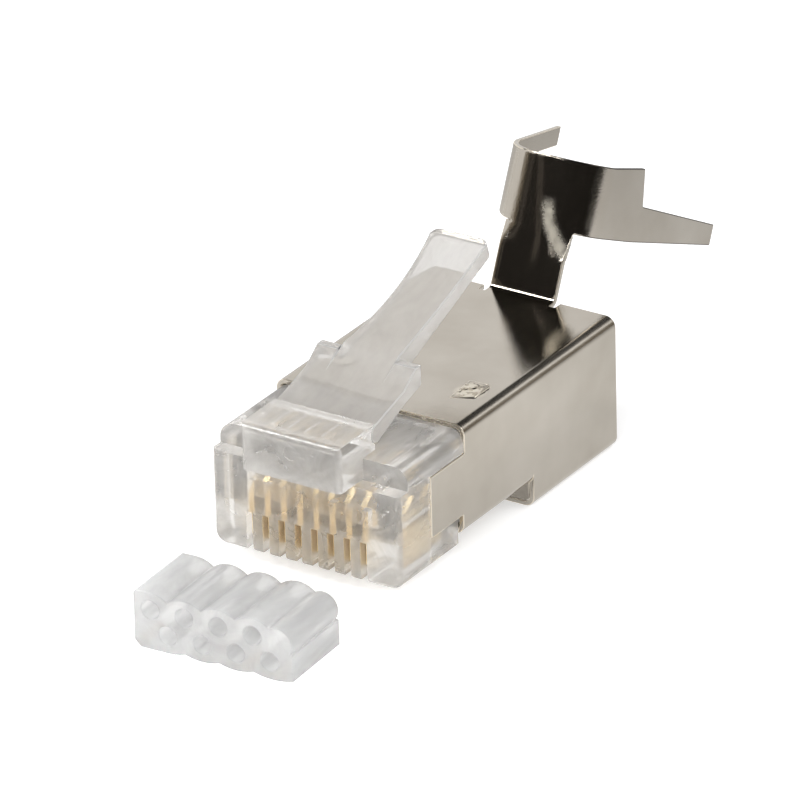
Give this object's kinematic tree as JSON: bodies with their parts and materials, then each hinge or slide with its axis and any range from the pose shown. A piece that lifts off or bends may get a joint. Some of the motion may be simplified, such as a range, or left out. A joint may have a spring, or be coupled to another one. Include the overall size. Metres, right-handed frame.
{
  "type": "rj45 modular plug",
  "caption": "Shielded modular plug: clear latched nose with gold contacts, plated sheet shield with a standing cable clamp, and a loose load bar.",
  "frame": {"origin": "middle of the nose's front face, 0.22 mm above its lower edge, on the contact side", "axes": "+X across the plug, +Y from the nose to the cable end, +Z from the contact side to the latch side"},
  "size_m": [0.0118, 0.0473, 0.0147],
  "materials": {
    "clear_moulding": "clear polycarbonate, polished, faintly milky",
    "plated_sheet": "bright nickel plate with fine rolling marks",
    "gold_contact": "gold plate over nickel"
  },
  "bodies": {
    "root": {"housing": "clear_moulding", "contact_1": "gold_contact", "contact_2": "gold_contact", "contact_3": "gold_contact", "contact_4": "gold_contact", "contact_5": "gold_contact", "contact_6": "gold_contact", "contact_7": "gold_contact", "contact_8": "gold_contact", "shield": "plated_sheet", "load_bar": "clear_moulding"},
    "latch": {"latch": "clear_moulding"}
  },
  "joints": [
    {"name": "latch_bend", "type": "hinge", "parent": "root", "child": "latch", "pos_m": [0, 0.00235, 0.00735], "axis": [-1, 0, 0], "range_deg": [0, 18], "stiffness_Nm_per_rad": 0.05}
  ]
}
